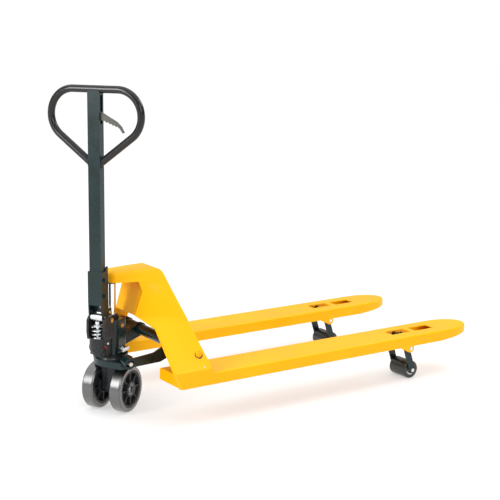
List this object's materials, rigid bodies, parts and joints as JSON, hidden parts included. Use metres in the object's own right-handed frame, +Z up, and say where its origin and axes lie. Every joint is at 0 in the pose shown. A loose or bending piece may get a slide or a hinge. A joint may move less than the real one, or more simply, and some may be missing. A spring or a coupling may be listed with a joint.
{
  "type": "pallet jack",
  "caption": "Hand pallet truck with raised forks, steering wheels under a hydraulic pump, and an upright drawbar with a hand loop.",
  "frame": {"origin": "middle of the whole part's footprint, on the floor", "axes": "+X towards the fork tips, +Y to the left fork when facing the tips, +Z up"},
  "size_m": [1.7676, 0.689, 1.245],
  "materials": {
    "frame_paint": "glossy yellow enamel",
    "dark_paint": "semi-gloss green-black enamel",
    "black_paint": "satin black enamel",
    "gloss_black": "glossy black plastic coating",
    "black_casting": "oiled black casting",
    "bright_steel": "zinc-plated and ground steel",
    "chrome": "hard chrome",
    "bronze": "sintered bronze",
    "brass": "yellow-passivated",
    "black_rubber": "smooth black tread",
    "hub_nylon": "moulded black nylon",
    "roller_nylon": "turned black-green nylon",
    "lever_plastic": "moulded grey plastic",
    "seal_rubber": "rubber wiper"
  },
  "bodies": {
    "frame": {"fork_left": "frame_paint", "fork_right": "frame_paint", "side_wall_left": "frame_paint", "side_wall_right": "frame_paint", "head": "frame_paint", "back_plate": "frame_paint", "web_plate": "frame_paint", "heel_plates": "frame_paint", "lug_pins": "bright_steel", "rocker_pins": "frame_paint", "ram": "chrome", "ram_collar": "black_paint"},
    "rocker": {"torsion_tube": "dark_paint", "rocker_bushes": "bronze", "lift_arm_left": "dark_paint", "lift_arm_right": "dark_paint", "rod_cranks": "dark_paint", "rod_rear_pins": "bright_steel"},
    "push_rod_left": {"push_rod_left": "dark_paint"},
    "push_rod_right": {"push_rod_right": "dark_paint"},
    "bracket_left": {"roller_bracket_left": "dark_paint", "bracket_pins_left": "bright_steel"},
    "bracket_right": {"roller_bracket_right": "dark_paint", "bracket_pins_right": "bright_steel"},
    "load_roller_left": {"load_roller_left": "roller_nylon", "roller_bearings_left": "bright_steel"},
    "load_roller_right": {"load_roller_right": "roller_nylon", "roller_bearings_right": "bright_steel"},
    "thrust_plate": {"thrust_plate": "dark_paint", "ear_pins": "bright_steel"},
    "steering_unit": {"thrust_bearing": "bright_steel", "pump_casting": "black_casting", "reservoir": "dark_paint", "lift_cylinder": "black_paint", "ram_seal": "seal_rubber", "pump_cylinder": "bright_steel", "relief_valve": "bright_steel", "filler_plug": "brass", "wheel_axle": "bright_steel", "axle_caps": "bright_steel", "pivot_pin": "brass"},
    "wheel_left": {"wheel_hub_left": "hub_nylon", "tread_left": "black_rubber", "wheel_bearings_left": "bright_steel"},
    "wheel_right": {"wheel_hub_right": "hub_nylon", "tread_right": "black_rubber", "wheel_bearings_right": "bright_steel"},
    "plunger": {"plunger": "bright_steel", "pump_spring": "bright_steel"},
    "handle": {"handle_base": "dark_paint", "press_roller": "bright_steel", "press_roller_pin": "bright_steel", "base_bolts": "dark_paint", "hand_loop": "gloss_black", "drawbar": "dark_paint", "lever_pin": "bright_steel"},
    "control_lever": {"control_lever": "lever_plastic"},
    "pull_rod": {"pull_rod": "bright_steel"},
    "release_arm": {"release_arm": "bright_steel"}
  },
  "joints": [
    {"name": "lift", "type": "slide", "parent": "frame", "child": "thrust_plate", "axis": [0, 0, 1], "range_m": [0, 0.115]},
    {"name": "rocker_turn", "type": "hinge", "parent": "frame", "child": "rocker", "pos_m": [-0.48516, 0, 0.258], "axis": [0, 1, 0], "range_deg": [0, 31.49]},
    {"name": "push_rod_left_slide", "type": "slide", "parent": "frame", "child": "push_rod_left", "axis": [-1, 0, 0], "range_m": [0, 0.04739]},
    {"name": "bracket_left_swing", "type": "hinge", "parent": "frame", "child": "bracket_left", "pos_m": [0.52684, 0.2625, 0.141], "axis": [0, -1, 0], "range_deg": [0, 77.15]},
    {"name": "load_roller_left_spin", "type": "hinge", "parent": "bracket_left", "child": "load_roller_left", "pos_m": [0.56184, 0.2625, 0.037], "axis": [0, 1, 0], "continuous": true},
    {"name": "wheel_left_spin", "type": "hinge", "parent": "steering_unit", "child": "wheel_left", "pos_m": [-0.71893, 0.05122, 0.09], "axis": [0.515, -0.8572, 0], "continuous": true},
    {"name": "push_rod_right_slide", "type": "slide", "parent": "frame", "child": "push_rod_right", "axis": [-1, 0, 0], "range_m": [0, 0.04739]},
    {"name": "bracket_right_swing", "type": "hinge", "parent": "frame", "child": "bracket_right", "pos_m": [0.52684, -0.2625, 0.141], "axis": [0, -1, 0], "range_deg": [0, 77.15]},
    {"name": "load_roller_right_spin", "type": "hinge", "parent": "bracket_right", "child": "load_roller_right", "pos_m": [0.56184, -0.2625, 0.037], "axis": [0, 1, 0], "continuous": true},
    {"name": "wheel_right_spin", "type": "hinge", "parent": "steering_unit", "child": "wheel_right", "pos_m": [-0.65738, -0.05122, 0.09], "axis": [0.515, -0.8572, 0], "continuous": true},
    {"name": "steering", "type": "hinge", "parent": "thrust_plate", "child": "steering_unit", "pos_m": [-0.68816, 0, 0.2], "axis": [0, 0, 1], "range_deg": [-121, 59]},
    {"name": "handle_tilt", "type": "hinge", "parent": "steering_unit", "child": "handle", "pos_m": [-0.74473, -0.03399, 0.371], "axis": [0.515, -0.8572, 0], "range_deg": [0, 70], "stiffness_Nm_per_rad": 14, "springref_deg": -34.38},
    {"name": "plunger_stroke", "type": "slide", "parent": "steering_unit", "child": "plunger", "axis": [0, 0, -1], "range_m": [0, 0.0415], "deforming": ["pump_spring"]},
    {"name": "control_lever_tilt", "type": "hinge", "parent": "handle", "child": "control_lever", "pos_m": [-0.77868, -0.04039, 1.188], "axis": [-0.8572, -0.515, 0], "range_deg": [-12, 18], "stiffness_Nm_per_rad": 4},
    {"name": "pull_rod_slide", "type": "slide", "parent": "handle", "child": "pull_rod", "axis": [0, 0, 1], "range_m": [-0.00378, 0.00566]},
    {"name": "release_arm_tilt", "type": "hinge", "parent": "steering_unit", "child": "release_arm", "pos_m": [-0.66034, -0.04629, 0.243], "axis": [0.515, -0.8572, 0], "range_deg": [-12, 18]}
  ],
  "couplings": [
    {"joint": "rocker_turn", "follows": "lift", "rad_per_m": 4.7789},
    {"joint": "push_rod_left_slide", "follows": "lift", "ratio": 0.41209},
    {"joint": "bracket_left_swing", "follows": "lift", "rad_per_m": 11.709},
    {"joint": "push_rod_right_slide", "follows": "lift", "ratio": 0.41209},
    {"joint": "bracket_right_swing", "follows": "lift", "rad_per_m": 11.709},
    {"joint": "plunger_stroke", "follows": "handle_tilt", "m_per_rad": 0.033965},
    {"joint": "pull_rod_slide", "follows": "control_lever_tilt", "m_per_rad": 0.018},
    {"joint": "release_arm_tilt", "follows": "control_lever_tilt", "ratio": 0.9}
  ]
}
